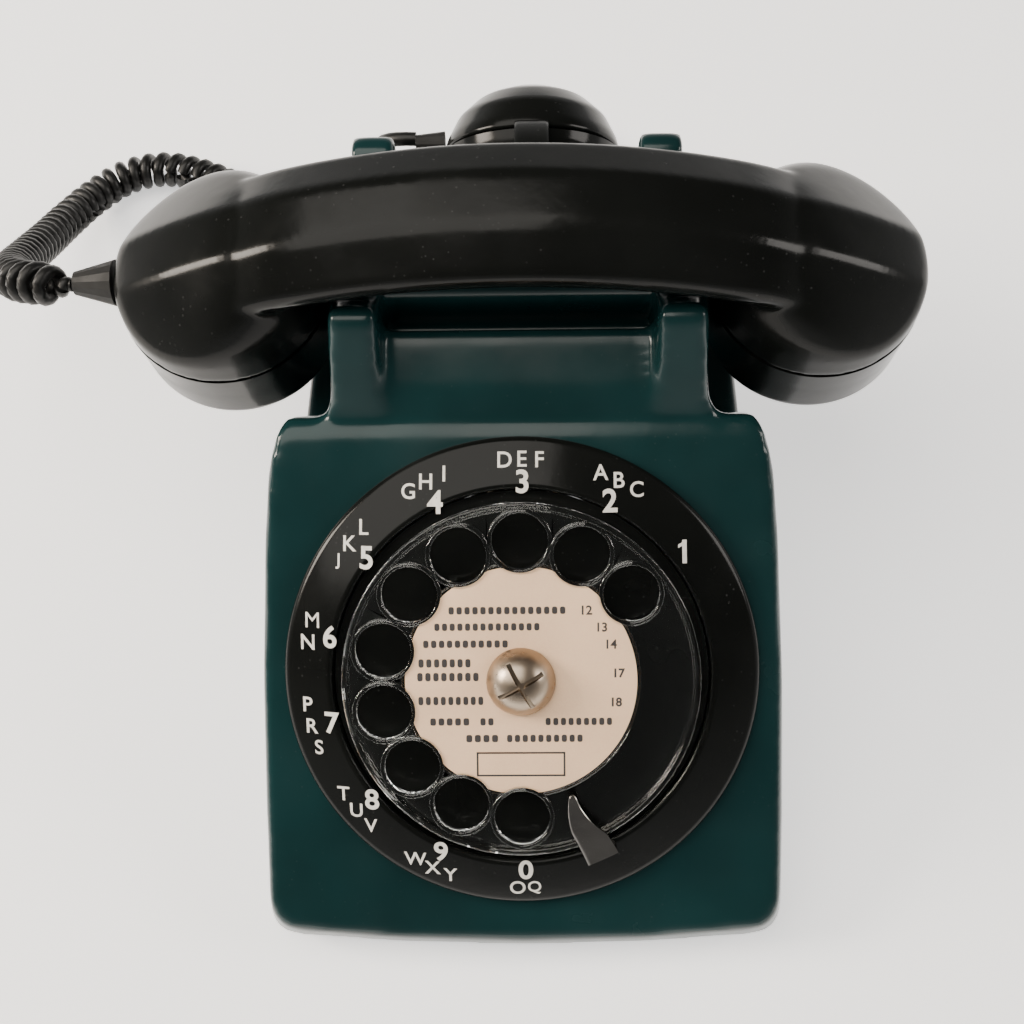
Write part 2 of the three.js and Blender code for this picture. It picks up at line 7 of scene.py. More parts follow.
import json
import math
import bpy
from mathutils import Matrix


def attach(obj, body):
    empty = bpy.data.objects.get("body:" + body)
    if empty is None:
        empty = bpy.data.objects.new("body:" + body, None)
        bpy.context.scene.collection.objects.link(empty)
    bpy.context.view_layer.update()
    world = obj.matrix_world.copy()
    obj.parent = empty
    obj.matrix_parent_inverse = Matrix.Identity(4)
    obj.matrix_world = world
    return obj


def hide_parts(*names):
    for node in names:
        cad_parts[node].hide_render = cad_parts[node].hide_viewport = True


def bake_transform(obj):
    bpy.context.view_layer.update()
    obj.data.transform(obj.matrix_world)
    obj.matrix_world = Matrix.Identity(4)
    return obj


bl_info = {
    "name": "Rotary Telephone",
    "version": (1, 0, 0),
    "blender": (4, 5, 0),
    "location": "View3D > Sidebar > Telephone",
    "description": "Makes the pieces and finishes of a rotary desk telephone round its frame",
    "category": "Add Mesh",
}

import bmesh
import bpy
import numpy as np
from bpy.props import FloatProperty, FloatVectorProperty, IntProperty, PointerProperty
from mathutils import Matrix, Vector

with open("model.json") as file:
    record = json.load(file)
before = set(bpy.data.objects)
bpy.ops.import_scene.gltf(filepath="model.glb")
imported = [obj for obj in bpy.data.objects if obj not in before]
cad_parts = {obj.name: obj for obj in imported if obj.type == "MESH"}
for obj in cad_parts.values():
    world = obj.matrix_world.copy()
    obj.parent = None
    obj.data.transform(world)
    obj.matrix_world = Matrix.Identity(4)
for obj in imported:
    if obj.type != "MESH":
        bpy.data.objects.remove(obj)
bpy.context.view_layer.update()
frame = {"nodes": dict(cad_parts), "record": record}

MM = 0.001
DEPTH_SHIFT = -52.6  # millimetres from the dial's centre line to the middle of the telephone
DIGITS = "1234567890"
HOLE_STEP = 180 / 7  # degrees between neighbouring finger holes
LETTERS = {
    "2": "ABC", "3": "DEF", "4": "GHI", "5": "JKL", "6": "MN",
    "7": "PRS", "8": "TUV", "9": "WXY", "0": "OQ",
}


# ---- properties ----
def length(name, description, default):
    """A size in metres that the user can change."""
    return FloatProperty(name=name, description=description, default=default, min=0, unit="LENGTH")


def colour(name, description, default):
    """A colour that the user can change."""
    return FloatVectorProperty(
        name=name, description=description, default=default, size=3, min=0, max=1, subtype="COLOR"
    )


class TelephoneSizes(bpy.types.PropertyGroup):
    """Sizes of the details that the frame doesn't hold."""

    hood_voxel: length("Hood voxel", "Grid size when the hood's edges are rounded", 0.0013)
    handle_voxel: length("Handle voxel", "Grid size when the handle is joined to its heads", 0.0009)
    edge_smoothing: IntProperty(
        name="Edge smoothing", description="Passes that round the hood's moulded edges", default=20, min=0
    )
    digit_height: length("Digit height", "Height of the numbers on the dial", 0.0064)
    letter_height: length("Letter height", "Height of the letters on the dial", 0.0043)
    lip_radius: length("Lip radius", "Thickness of the bead round each finger hole", 0.0008)
    coil_wire: length("Coil wire", "Diameter of the handset cord's wire", 0.0041)
    coil_outside: length("Coil outside", "Outside diameter of the curled cord", 0.0132)
    coil_pitch: length("Coil pitch", "Distance between turns of the curled cord", 0.0052)
    second_cord: length("Second cord", "Diameter of the second earpiece's cord", 0.0044)


class TelephoneColours(bpy.types.PropertyGroup):
    """Colours of the finishes."""

    hood: colour("Hood", "Petrol teal moulding", (0.006, 0.026, 0.027))
    black: colour("Black", "Glossy black moulding", (0.005, 0.0055, 0.005))
    rubber: colour("Rubber", "Matt black rubber and cord", (0.006, 0.006, 0.0055))
    card: colour("Card", "Printed card under the finger wheel", (1.0, 0.67, 0.43))
    ink: colour("Ink", "Print on the card", (0.045, 0.04, 0.04))
    legend: colour("Legend", "Numbers and letters of the dial", (0.86, 0.83, 0.76))
    floor: colour("Floor", "Pale floor", (0.96, 0.955, 0.95))


# ---- shapes ----
def tilted(origin, degrees):
    """A frame in millimetres at origin, turned about X by the angle, as a 4 by 4 matrix."""
    c, s = math.cos(math.radians(degrees)), math.sin(math.radians(degrees))
    x, y, z = origin
    return np.array([[1, 0, 0, x], [0, c, -s, y + DEPTH_SHIFT], [0, s, c, z], [0, 0, 0, 1]])


def spun(base, degrees):
    """A frame turned about its own Z by the angle, anticlockwise."""
    c, s = math.cos(math.radians(degrees)), math.sin(math.radians(degrees))
    return base @ np.array([[c, -s, 0, 0], [s, c, 0, 0], [0, 0, 1, 0], [0, 0, 0, 1]])


TABLE_FRAME = tilted((0, 0, 0), 0)
DIAL_FRAME = tilted((0, 0, 55), 30)
HANDSET_FRAME = tilted((0, 100.7, 142.2), 5.7)
SECOND_FRAME = tilted((4, 161, 88), -70)


def place(points, base):
    """Points in millimetres in a frame, as metres in the model: turned, moved, then scaled."""
    return (np.asarray(points, float) @ base[:3, :3].T + base[:3, 3]) * MM


def rounded(outline, radius, closed=True, steps=5):
    """An outline with each corner replaced by a quadratic curve, which starts radius before the corner
    and ends radius after it."""
    corner = np.array(outline, float)
    back, ahead = np.roll(corner, 1, 0) - corner, np.roll(corner, -1, 0) - corner

    def reach(side):
        span = np.maximum(np.linalg.norm(side, axis=1), 1e-9)
        return side * np.minimum(radius / span, 0.45)[:, None]

    start, end = (corner + reach(back))[:, None], (corner + reach(ahead))[:, None]
    t = np.linspace(0, 1, steps)[None, :, None]
    curve = (1 - t) ** 2 * start + 2 * t * (1 - t) * corner[:, None] + t**2 * end
    if not closed:
        curve[0], curve[-1] = corner[0], corner[-1]
    return curve.reshape(-1, 2)


def shell(grid, wrap_rows=False, wrap_columns=False):
    """Vertices and four-sided faces of a surface given as a grid of points.

    A wrapped side joins its last line of points to its first."""
    rows, columns = grid.shape[:2]
    i = np.arange(rows if wrap_rows else rows - 1)[:, None]
    j = np.arange(columns if wrap_columns else columns - 1)[None, :]
    corners = [
        (i % rows, j % columns), (i % rows, (j + 1) % columns),
        ((i + 1) % rows, (j + 1) % columns), ((i + 1) % rows, j % columns),
    ]
    faces = np.stack([a * columns + b for a, b in corners], -1).reshape(-1, 4)
    return grid.reshape(-1, 3), faces


def turned(profile, base, centre=(0, 0), turns=128, closed=True):
    """A profile of radius and height carried round an axis.

    x is radius times cosine, y is radius times sine and z is height, for an angle once round."""
    angle = np.linspace(0, 2 * np.pi, turns, endpoint=False)[:, None]
    radius, height = np.array(profile, float).T
    x, y = centre[0] + radius * np.cos(angle), centre[1] + radius * np.sin(angle)
    grid = np.stack([x, y, height + 0 * angle], -1)
    return shell(place(grid, base), wrap_rows=True, wrap_columns=closed)


def route(points, spacing):
    """A smooth line through points, sampled at an even spacing, in the points' own unit.

    Between two points it is a cubic, whose slope at each is half the step between its neighbours."""
    p = np.array(points, float)
    slope = np.gradient(p, axis=0)
    t = np.linspace(0, 1, 40, endpoint=False)[None, :, None]
    a, b = p[:-1, None], p[1:, None]
    m, n = slope[:-1, None], slope[1:, None]
    cubic = (2 * t**3 - 3 * t**2 + 1) * a + (t**3 - 2 * t**2 + t) * m
    cubic = cubic + (3 * t**2 - 2 * t**3) * b + (t**3 - t**2) * n
    line = np.vstack([cubic.reshape(-1, 3), p[-1:]])
    along = np.concatenate([[0], np.cumsum(np.linalg.norm(np.diff(line, axis=0), axis=1))])
    even = np.linspace(0, along[-1], max(2, int(round(along[-1] / spacing)) + 1))
    return np.stack([np.interp(even, along, line[:, k]) for k in range(3)], -1)


def directions(line, reference):
    """Unit vectors along a line, sideways from it and square to both.

    Sideways is the direction along the line crossed with the reference."""
    along = np.gradient(line, axis=0)
    along /= np.linalg.norm(along, axis=1)[:, None]
    side = np.cross(along, reference)
    side /= np.linalg.norm(side, axis=1)[:, None]
    return along, side, np.cross(side, along)


def tube(line, radius, reference, sides=12):
    """A round cord: at each point of the line a circle across it, closed by a point at each end."""
    along, side, up = directions(line, reference)
    angle = np.linspace(0, 2 * np.pi, sides, endpoint=False)[None, :, None]
    rings = line[:, None] + radius * (side[:, None] * np.cos(angle) + up[:, None] * np.sin(angle))
    ends = [np.repeat(line[k][None, None], sides, 1) for k in (0, -1)]
    return shell(np.concatenate([ends[0], rings, ends[1]]), wrap_columns=True)


def strip(line, across, thickness, width, base, sides=20, square=4):
    """A bent strip: a flat section carried along a line in one plane, wide along the direction across.

    The section is a superellipse: its power is square, which gives flat faces and rounded edges."""
    along = np.gradient(line, axis=0)
    along /= np.linalg.norm(along, axis=1)[:, None]
    out = np.cross(along, across)
    angle = np.linspace(0, 2 * np.pi, sides, endpoint=False)
    u = np.sign(np.cos(angle)) * np.abs(np.cos(angle)) ** (2 / square)
    v = np.sign(np.sin(angle)) * np.abs(np.sin(angle)) ** (2 / square)
    width, thickness = np.broadcast_to(width, len(line)), np.broadcast_to(thickness, len(line))
    rings = (
        line[:, None]
        + u[None, :, None] * width[:, None, None] / 2 * np.array(across, float)
        + v[None, :, None] * thickness[:, None, None] / 2 * out[:, None]
    )
    ends = [np.repeat(line[k][None, None], sides, 1) for k in (0, -1)]
    return shell(place(np.concatenate([ends[0], rings, ends[1]]), base), wrap_columns=True)


def block(low, high, base):
    """A box between two corners, as six faces."""
    x, y, z = zip(low, high)
    corners = [(x[i], y[j], z[k]) for i in (0, 1) for j in (0, 1) for k in (0, 1)]
    faces = [(0, 1, 3, 2), (4, 6, 7, 5), (0, 4, 5, 1), (2, 3, 7, 6), (0, 2, 6, 4), (1, 5, 7, 3)]
    return place(corners, base), np.array(faces)


def gathered(name, shells):
    """A mesh object from several shells, each given as its points and its faces."""
    points, faces, start = [], [], 0
    for vertices, polygons in shells:
        points.append(vertices)
        faces += [tuple(int(k) + start for k in polygon) for polygon in polygons]
        start += len(vertices)
    mesh = bpy.data.meshes.new(name)
    mesh.from_pydata(np.concatenate(points).tolist(), [], faces)
    piece = bpy.data.objects.new(name, mesh)
    bpy.context.scene.collection.objects.link(piece)
    return piece


def solid(name, shells, sharp=35):
    """A mesh object from closed shells, with edges past the angle kept sharp."""
    piece = gathered(name, shells)
    tidy(piece.data)
    piece.data.shade_smooth()
    piece.data.set_sharp_from_angle(angle=math.radians(sharp))
    return piece


def tidy(mesh):
    """Merges doubled points, drops faces without area and turns each closed shell outwards."""
    form = bmesh.new()
    form.from_mesh(mesh)
    bmesh.ops.remove_doubles(form, verts=form.verts, dist=2e-7)
    bmesh.ops.dissolve_degenerate(form, edges=form.edges, dist=1e-8)
    bmesh.ops.recalc_face_normals(form, faces=form.faces)
    form.to_mesh(mesh)
    form.free()


def evaluated_mesh(holder):
    """A new mesh of an object as its modifiers or its text make it."""
    bpy.context.view_layer.update()
    ready = bpy.context.evaluated_depsgraph_get()
    return bpy.data.meshes.new_from_object(holder.evaluated_get(ready))


def settled(piece, sharp=None):
    """Applies a piece's modifiers to its mesh."""
    mesh = evaluated_mesh(piece)
    mesh.name = piece.name
    piece.modifiers.clear()
    piece.data = mesh
    mesh.shade_smooth()
    if sharp is not None:
        mesh.set_sharp_from_angle(angle=math.radians(sharp))
    return piece


def carved(piece, tools, operation="DIFFERENCE", sharp=35):
    """A piece after a set of closed shells is cut from it or added to it."""
    tool = solid(piece.name + "_tool", tools)
    cut = piece.modifiers.new("carve", "BOOLEAN")
    cut.operation, cut.object, cut.solver = operation, tool, "MANIFOLD"
    settled(piece, sharp)
    bpy.data.objects.remove(tool)
    return piece


def remoulded(piece, voxel, passes):
    """A piece remade on an even grid, which joins its overlapping shells.

    Smoothing then rounds its edges."""
    grid = piece.modifiers.new("grid", "REMESH")
    grid.mode, grid.voxel_size = "VOXEL", voxel
    soften = piece.modifiers.new("soften", "SMOOTH")
    soften.factor, soften.iterations = 0.5, passes
    return settled(piece)


def finished(piece, body, slot, material, *nodes):
    """Gives a piece its material and body, and hides the frame's nodes that it stands for. Its slot is not
    used.
    """
    piece.data.materials.clear()
    piece.data.materials.append(material)
    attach(piece, body)
    if nodes:
        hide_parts(*nodes)
    return piece


# ---- finishes ----
class Finish:
    """A procedural material on Object coordinates, built up from noise."""

    def __init__(self, name):
        self.material = bpy.data.materials.new(name)
        self.material.use_nodes = True
        self.tree = self.material.node_tree
        self.shader = self.tree.nodes["Principled BSDF"]
        self.place = self.tree.nodes.new("ShaderNodeTexCoord").outputs["Object"]

    def set(self, **values):
        """Sets constant numbers on the shader's own sockets."""
        for name, value in values.items():
            self.shader.inputs[name.replace("_", " ")].default_value = value
        return self

    def stretched(self, scale):
        """Object coordinates scaled differently along each axis."""
        node = self.tree.nodes.new("ShaderNodeMapping")
        node.inputs["Scale"].default_value = scale
        self.tree.links.new(self.place, node.inputs["Vector"])
        return node.outputs["Vector"]

    def noise(self, scale, detail=3, place=None):
        """Cloudy values from 0 to 1."""
        node = self.tree.nodes.new("ShaderNodeTexNoise")
        node.inputs["Scale"].default_value = scale
        node.inputs["Detail"].default_value = detail
        self.tree.links.new(place or self.place, node.inputs["Vector"])
        return node.outputs["Fac"]

    def specks(self, scale, size):
        """White dots where a cell pattern is nearer than size to its seed."""
        node = self.tree.nodes.new("ShaderNodeTexVoronoi")
        node.inputs["Scale"].default_value = scale
        self.tree.links.new(self.place, node.inputs["Vector"])
        return self.spread(node.outputs["Distance"], size * 0.5, size, 1, 0)

    def spread(self, source, low, high, start, end):
        """A value mapped from low..high to start..end and held there outside."""
        node = self.tree.nodes.new("ShaderNodeMapRange")
        for key, value in zip(("From Min", "From Max", "To Min", "To Max"), (low, high, start, end)):
            node.inputs[key].default_value = value
        self.tree.links.new(source, node.inputs["Value"])
        return node.outputs["Result"]

    def times(self, a, b):
        """The product of two outputs."""
        node = self.tree.nodes.new("ShaderNodeMath")
        node.operation = "MULTIPLY"
        self.tree.links.new(a, node.inputs[0])
        self.tree.links.new(b, node.inputs[1])
        return node.outputs[0]

    def mixed(self, factor, first, second):
        """A colour between two others. Each is a colour or another node's output."""
        node = self.tree.nodes.new("ShaderNodeMix")
        node.data_type = "RGBA"
        self.tree.links.new(factor, node.inputs["Factor"])
        for socket, value in ((node.inputs[6], first), (node.inputs[7], second)):
            if isinstance(value, bpy.types.NodeSocket):
                self.tree.links.new(value, socket)
            else:
                socket.default_value = (*value, 1)
        return node.outputs[2]

    def colour(self, output):
        """Links an output to the base colour."""
        self.tree.links.new(output, self.shader.inputs["Base Color"])
        return self

    def roughness(self, output):
        """Links an output to the roughness."""
        self.tree.links.new(output, self.shader.inputs["Roughness"])
        return self

    def bump(self, output, distance, strength=1.0):
        """Makes an output the surface's fine relief, as high as the distance."""
        node = self.tree.nodes.new("ShaderNodeBump")
        node.inputs["Distance"].default_value = distance
        node.inputs["Strength"].default_value = strength
        self.tree.links.new(output, node.inputs["Height"])
        self.tree.links.new(node.outputs["Normal"], self.shader.inputs["Normal"])
        return self


def shaded(base, factor):
    """A colour made lighter or darker."""
    return tuple(min(1.0, c * factor) for c in base)


def moulded(name, base, rough, dust, shine):
    """Glossy moulded plastic: cloudy colour, a faint ripple in the gloss, smudges and settled dust."""
    f = Finish(name)
    cloud = f.mixed(f.spread(f.noise(22), 0.3, 0.7, 0, 1), shaded(base, 0.8), shaded(base, 1.2))
    speck = f.times(f.specks(420, 0.16), f.spread(f.noise(60), 0.48, 0.72, 0, dust))
    f.colour(f.mixed(speck, cloud, shaded(tuple(0.5 * c + 0.06 for c in base), 1.5)))
    smudge = f.spread(f.noise(48, 5), 0.42, 0.75, rough, rough + 0.13)
    f.roughness(smudge).bump(f.noise(260, 2), 0.00006, 0.35)
    return f.set(Specular_IOR_Level=shine).material


def rubbery(name, base, rough):
    """Matt rubber or PVC: fine grain, a little greyed in places."""
    f = Finish(name)
    grey = tuple(0.6 * c + 0.014 for c in base)
    f.colour(f.mixed(f.spread(f.noise(90, 4), 0.4, 0.75, 0, 1), base, grey))
    f.roughness(f.spread(f.noise(130), 0.3, 0.7, rough - 0.08, rough + 0.1))
    return f.bump(f.noise(900, 2), 0.00008, 0.5).set(Specular_IOR_Level=0.3).material


def metallic(name, base, rough, brushed):
    """Metal: fine lines along X, patchy gloss and a light tarnish."""
    f = Finish(name)
    lines = f.noise(1, 3, f.stretched((60, brushed, brushed)))
    f.colour(f.mixed(f.spread(f.noise(70, 4), 0.35, 0.75, 0, 1), base, shaded(base, 0.68)))
    f.roughness(f.spread(lines, 0.3, 0.7, max(0.03, rough - 0.06), rough + 0.1))
    return f.bump(lines, 0.00003, 0.4).set(Metallic=1.0).material


def acrylic(name):
    """Clear plastic, a little yellowed and scratched, that lets most light through."""
    f = Finish(name)
    f.colour(f.mixed(f.spread(f.noise(30), 0.3, 0.7, 0, 1), (0.93, 0.95, 0.93), (0.86, 0.89, 0.86)))
    scratches = f.noise(1, 3, f.stretched((1100, 60, 1100)))
    f.roughness(f.spread(scratches, 0.55, 0.85, 0.01, 0.07))
    f.bump(f.noise(60, 2), 0.00002, 0.15)
    return f.set(Transmission_Weight=1.0, IOR=1.46).material


def paper(name, base):
    """Printed card: faint fibres, warm blotches and a dull surface."""
    f = Finish(name)
    blotch = f.mixed(f.spread(f.noise(45, 4), 0.35, 0.75, 0, 1), base, shaded(base, 0.86))
    f.colour(f.mixed(f.spread(f.noise(1600, 3), 0.35, 0.7, 0, 0.35), blotch, shaded(base, 1.12)))
    f.roughness(f.spread(f.noise(300), 0.3, 0.7, 0.5, 0.72))
    return f.bump(f.noise(1400, 3), 0.00004, 0.4).material


def printed(name, base, rough):
    """Ink or filled lettering: slightly uneven."""
    f = Finish(name)
    f.colour(f.mixed(f.spread(f.noise(400, 3), 0.35, 0.7, 0, 1), base, shaded(base, 0.82)))
    f.roughness(f.spread(f.noise(500), 0.3, 0.7, rough - 0.08, rough + 0.08))
    return f.bump(f.noise(900, 2), 0.00003, 0.3).material


def wound(name, base):
    """Fine wire wound in layers: rings stacked along Z, with painted shade in the low grooves and painted
    highlight on the raised turns.
    """
    f = Finish(name)
    turns = f.noise(1, 1, f.stretched((30, 30, 4200)))
    # Darker where the relief is low and lighter where it is raised: painted shade between the turns and
    # painted highlight on them.
    f.colour(f.mixed(f.spread(turns, 0.35, 0.65, 0, 1), shaded(base, 0.6), shaded(base, 1.3)))
    f.roughness(f.spread(f.noise(200), 0.3, 0.7, 0.35, 0.55))
    return f.bump(turns, 0.0002, 0.6).set(Metallic=0.6).material


def finish(name):
    """The named finish, made once."""
    made = bpy.data.materials.get(name)
    if made:
        return made
    tint = bpy.context.scene.telephone_colours
    makers = {
        "hood_plastic": lambda: moulded(name, tuple(tint.hood), 0.16, 0.16, 0.34),
        "black_plastic": lambda: moulded(name, tuple(tint.black), 0.14, 0.3, 0.17),
        "matt_rubber": lambda: rubbery(name, tuple(tint.rubber), 0.55),
        "cord_pvc": lambda: rubbery(name, shaded(tint.rubber, 0.7), 0.38),
        "clear_acrylic": lambda: acrylic(name),
        "cream_card": lambda: paper(name, tuple(tint.card)),
        "card_ink": lambda: printed(name, tuple(tint.ink), 0.6),
        "legend_fill": lambda: printed(name, tuple(tint.legend), 0.45),
        "nickel": lambda: metallic(name, (0.42, 0.34, 0.26), 0.3, 300),
        "chrome": lambda: metallic(name, (0.6, 0.57, 0.53), 0.12, 300),
        "zinc": lambda: metallic(name, (0.5, 0.51, 0.52), 0.36, 1100),
        "turned_brass": lambda: metallic(name, (0.62, 0.45, 0.2), 0.28, 900),
        "wound_wire": lambda: wound(name, (0.34, 0.13, 0.06)),
        "brown_bakelite": lambda: moulded(name, (0.11, 0.05, 0.025), 0.35, 0.2, 0.5),
    }
    return makers[name]()


SLOT_FINISH = {
    "hood": "hood_plastic", "steel": "zinc", "soft_black": "matt_rubber", "black_gloss": "black_plastic",
    "brass": "turned_brass", "bright": "chrome", "board": "brown_bakelite", "coil": "wound_wire",
    "cord": "cord_pvc", "clear": "clear_acrylic", "card": "cream_card",
}


# ---- operators ----
CAMERA_PLACE = (0.00703, -0.16724, 0.44025)
CAMERA_LENS = 49.12
LAMP_TARGET = (0, 0, 0.05)
LAMPS = (  # name, place, size, power, colour
    ("window", (-1.25, 0.1, 0.75), 0.5, 26.0, (1.0, 0.9, 0.78)),
    ("ceiling", (-0.45, 0.05, 1.35), 1.3, 19.0, (1.0, 0.95, 0.88)),
    ("fill", (1.3, 0.1, 0.8), 0.6, 9.0, (1.0, 0.95, 0.9)),
)


class TELEPHONE_OT_stage(bpy.types.Operator):
    """Makes the camera, the soft lights and the pale floor"""

    bl_idname = "telephone.stage"
    bl_label = "Stage and camera"

    def execute(self, context):
        scene = context.scene
        pitch, yaw, roll = 1.167, -0.060, -0.063  # down from level, right of straight ahead, clockwise
        ahead = np.array([
            math.sin(yaw) * math.cos(pitch), math.cos(yaw) * math.cos(pitch), -math.sin(pitch)
        ])
        right = np.array([math.cos(yaw), -math.sin(yaw), 0])
        up = np.cross(right, ahead)
        across = right * math.cos(roll) + up * math.sin(roll)
        upright = -right * math.sin(roll) + up * math.cos(roll)
        turn = Matrix(np.stack([across, upright, -ahead], 1).tolist()).to_4x4()
        camera = bpy.data.objects.new("camera", bpy.data.cameras.new("camera"))
        camera.data.lens = CAMERA_LENS
        camera.data.clip_start = 0.01
        camera.matrix_world = Matrix.Translation(CAMERA_PLACE) @ turn
        scene.collection.objects.link(camera)
        scene.camera = camera
        for lamp in LAMPS:
            self.lamp(scene, *lamp)
        scene.world = self.sky()
        angle = np.linspace(0, 2 * np.pi, 64, endpoint=False)[:, None]
        radius = np.array([0, 0.5, 1, 2, 4])
        disc = np.stack([radius * np.cos(angle), radius * np.sin(angle), 0 * radius * angle - 0.0002], -1)
        floor = solid("floor", [shell(disc, wrap_rows=True)])
        f = Finish("pale_floor")
        tint = tuple(scene.telephone_colours.floor)
        f.colour(f.mixed(f.noise(6), tint, shaded(tint, 0.985)))
        f.roughness(f.spread(f.noise(40), 0.3, 0.7, 0.7, 0.85)).set(Specular_IOR_Level=0.1)
        f.set(Emission_Color=(1, 0.99, 0.98, 1), Emission_Strength=0.9)
        floor.data.materials.append(f.material)
        return {"FINISHED"}

    def sky(self):
        """A studio that is pale near the horizon and dim overhead, so that gloss stays dark from above."""
        world = bpy.data.worlds.new("studio")
        world.use_nodes = True
        tree = world.node_tree
        direction = tree.nodes.new("ShaderNodeTexCoord").outputs["Generated"]
        parts = tree.nodes.new("ShaderNodeSeparateXYZ")
        level = tree.nodes.new("ShaderNodeMapRange")
        for key, value in zip(("From Min", "From Max", "To Min", "To Max"), (0.1, 0.5, 0.75, 0.1)):
            level.inputs[key].default_value = value
        tree.links.new(direction, parts.inputs[0])
        tree.links.new(parts.outputs["Z"], level.inputs["Value"])
        background = tree.nodes["Background"]
        background.inputs["Color"].default_value = (1, 0.985, 0.965, 1)
        tree.links.new(level.outputs["Result"], background.inputs["Strength"])
        return world

    def lamp(self, scene, name, position, size, power, tint):
        """A square soft light that faces the telephone."""
        light = bpy.data.objects.new(name, bpy.data.lights.new(name, "AREA"))
        light.data.size, light.data.energy, light.data.color = size, power, tint
        away = Vector(position) - Vector(LAMP_TARGET)
        turn = away.to_track_quat("Z", "Y").to_matrix().to_4x4()
        light.matrix_world = Matrix.Translation(position) @ turn
        scene.collection.objects.link(light)


HANDSET_CORD_ROUTE = [
    (-129.7, 105.5, 95.2), (-140, 107.5, 93), (-151, 114, 85), (-159.5, 127, 70), (-164, 145, 51),
    (-166, 164, 33), (-165.5, 183, 18), (-160, 199, 9.5), (-149.5, 209.5, 7), (-136, 212.5, 7),
    (-122, 209.5, 7), (-108, 203, 7), (-93, 194.5, 7), (-77, 184, 7.5), (-64, 173, 9.5), (-52, 166, 12.8),
    (-46.5, 158.5, 15.8), (-46, 151.4, 16),
]
CURL_STEPS = 16  # points in one turn of the curl
STRAIGHT_TURNS, RAMP_TURNS = 0.2, 1.3  # at each end, before the curl opens and while it opens


class TELEPHONE_OT_handset_cord(bpy.types.Operator):
    """Makes the curled cord from the mouthpiece to the back of the telephone"""

    bl_idname = "telephone.handset_cord"
    bl_label = "Handset cord"

    def execute(self, context):
        sizes = context.scene.telephone_sizes
        wire, pitch = sizes.coil_wire, sizes.coil_pitch
        curl = (sizes.coil_outside - wire) / 2
        middle = place(route(HANDSET_CORD_ROUTE, pitch / MM / CURL_STEPS), TABLE_FRAME)
        count = len(middle)
        _, side, up = directions(middle, np.array([0.5, 0.6, 0.6]))
        # The curl's radius grows from nothing over the ramp at each end, so the wire leaves straight.
        turns = np.arange(count) / CURL_STEPS
        from_end = np.minimum(turns, turns[-1] - turns)
        reach = curl * np.clip((from_end - STRAIGHT_TURNS) / RAMP_TURNS, 0, 1)[:, None]
        angle = (2 * np.pi * turns)[:, None]
        line = middle + reach * (side * np.cos(angle) + up * np.sin(angle))
        cord = solid("handset_cord_curl", [tube(line, wire / 2, np.array([0.31, 0.52, 0.79]), 10)], 80)
        cord.data.materials.append(finish("cord_pvc"))
        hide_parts("handset_cord")
        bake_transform(cord)
        return {"FINISHED"}


DROP_ROUTE = [
    (-32.1, 162, 87.4), (-38, 162.4, 87), (-43, 164.5, 83), (-45.5, 168, 74), (-46.5, 173, 58),
    (-46, 178, 40), (-44, 183, 22), (-40.5, 188, 9), (-35, 192, 3.4),
]
RETURN_ROUTE = [
    (44.5, 174, 5), (46, 167, 9.5), (46.3, 161, 13.5), (46, 156, 15.8), (46, 150.6, 16),
]
COIL_CENTRE = (8, 197)
COIL_TURNED = 1560  # degrees round the coil, a little over four turns
COIL_START = 182  # degrees, where the drop meets the coil


class TELEPHONE_OT_earpiece_cord(bpy.types.Operator):
    """Makes the second earpiece's cord: down, four turns on the table, and back into the telephone"""

    bl_idname = "telephone.earpiece_cord"
    bl_label = "Earpiece cord"

    def execute(self, context):
        thick = context.scene.telephone_sizes.second_cord
        # Degrees turned clockwise, radius and height of the coil's four turns: out, in, up, out.
        turned_by = np.linspace(0, COIL_TURNED, 66)
        knots = [0, 330, 390, 700, 760, 1080, 1140, 1480, COIL_TURNED]
        radius = np.interp(turned_by, knots, [31.2, 31.2, 26.8, 26.8, 26.8, 26.8, 31.2, 31.2, 33.5])
        height = np.interp(turned_by, knots, [2.5, 2.5, 2.5, 2.5, 6.95, 6.95, 6.95, 6.95, 5.4])
        angle = np.radians(COIL_START - turned_by)
        x, y = COIL_CENTRE[0] + radius * np.cos(angle), COIL_CENTRE[1] + radius * np.sin(angle)
        coil = np.stack([x, y, height], -1)
        line = place(route(np.vstack([DROP_ROUTE, coil, RETURN_ROUTE]), 3), TABLE_FRAME)
        cord = solid("earpiece_cord", [tube(line, thick / 2, np.array([0.25, 0.15, 0.95]))], 80)
        cord.data.materials.append(finish("cord_pvc"))
        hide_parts("second_cord_drop", "second_cord_coil", "second_cord_return")
        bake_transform(cord)
        return {"FINISHED"}


class TELEPHONE_OT_hood(bpy.types.Operator):
    """Remakes the hood with rounded moulded edges"""

    bl_idname = "telephone.hood"
    bl_label = "Hood"

    def execute(self, context):
        sizes = context.scene.telephone_sizes
        node = frame["nodes"]["body_shell"]
        hood = bpy.data.objects.new("hood", node.data.copy())
        context.scene.collection.objects.link(hood)
        tidy(hood.data)
        remoulded(hood, sizes.hood_voxel, sizes.edge_smoothing)
        finished(hood, "root", "hood", finish("hood_plastic"), "body_shell")
        return {"FINISHED"}


RING_FOOT, RING_CREST = (66.4, 3.4), (54.6, 7.4)  # radius and height of the ends of the ring's slope
RING_OUTLINE = [(53.2, 0.4), (67.5, 0.4), (67.5, 2.4), RING_FOOT, RING_CREST, (53.2, 7)]
RING_SLOPE = (RING_CREST[1] - RING_FOOT[1]) / (RING_FOOT[0] - RING_CREST[0])


class TELEPHONE_OT_number_ring(bpy.types.Operator):
    """Makes the sloped black ring round the dial"""

    bl_idname = "telephone.number_ring"
    bl_label = "Number ring"

    def execute(self, context):
        profile = rounded(RING_OUTLINE, 0.7)
        ring = solid("number_ring_moulding", [turned(profile, DIAL_FRAME, turns=192)], 60)
        finished(ring, "root", "black_gloss", finish("black_plastic"), "number_ring")
        return {"FINISHED"}


